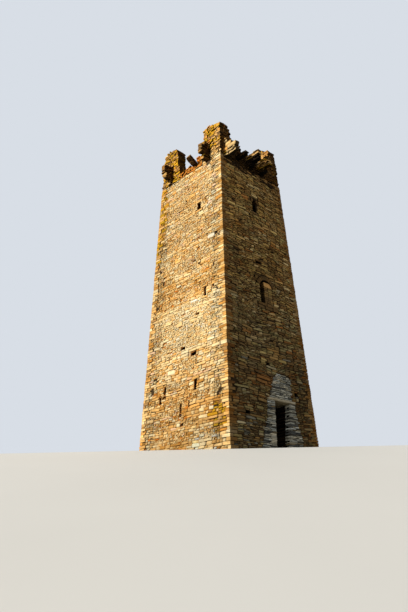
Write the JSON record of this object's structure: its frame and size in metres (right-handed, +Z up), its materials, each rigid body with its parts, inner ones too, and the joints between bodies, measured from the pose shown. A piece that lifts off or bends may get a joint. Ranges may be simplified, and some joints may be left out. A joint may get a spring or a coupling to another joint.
{
  "type": "ruined stone tower keep",
  "caption": "Tapering square keep of coursed rubble, with a slate-mended ground doorway, a part-blocked upper doorway, slits, inner floors and a broken crown of corbels and corner piers.",
  "frame": {"origin": "centre of the square base, at the lowest ground that the walls run down to", "axes": "+Z up the tower's axis; the wall with the two doorways faces -Y; the sunlit wall of the picture faces -X"},
  "size_m": [5, 5.2592, 14.43],
  "materials": {
    "ochre_rubble": "rough coursed rubble, ochre and cream",
    "brown_rubble": "rough coursed rubble, brown and olive",
    "grey_slate": "thin split slate, matt",
    "lintel_stone": "rough slab, matt",
    "pale_stone": "rough blocking stones, matt",
    "old_timber": "weathered, unfinished"
  },
  "bodies": {
    "root": {"front_wall_beside_door_left": "brown_rubble", "front_wall_beside_door_right": "brown_rubble", "front_wall_over_door": "brown_rubble", "door_jamb_left": "grey_slate", "door_jamb_right": "grey_slate", "door_lintel": "lintel_stone", "door_slate_crown": "grey_slate", "door_threshold": "grey_slate", "left_wall_ground": "ochre_rubble", "right_wall_ground": "ochre_rubble", "back_wall_ground": "brown_rubble", "front_wall_second_left": "brown_rubble", "front_wall_second_right": "brown_rubble", "front_wall_over_upper_door": "brown_rubble", "upper_door_sill": "brown_rubble", "upper_door_head": "brown_rubble", "upper_door_blocking": "pale_stone", "left_wall_second": "ochre_rubble", "right_wall_second": "ochre_rubble", "back_wall_second": "brown_rubble", "front_wall_third": "brown_rubble", "left_wall_third": "ochre_rubble", "right_wall_third": "ochre_rubble", "back_wall_third": "brown_rubble", "second_floor_joists": "old_timber", "second_floor_boards": "old_timber", "third_floor_joists": "old_timber", "third_floor_boards": "old_timber", "near_corner_pier": "ochre_rubble", "far_corner_pier": "ochre_rubble", "right_corner_pier": "brown_rubble", "left_corner_pier": "brown_rubble", "front_parapet_stump": "brown_rubble", "back_parapet_stump": "brown_rubble", "left_parapet_stump": "ochre_rubble", "right_parapet_stump": "ochre_rubble", "front_corbels": "brown_rubble", "back_corbels": "brown_rubble", "left_corbels": "ochre_rubble", "right_corbels": "ochre_rubble"}
  },
  "joints": []
}
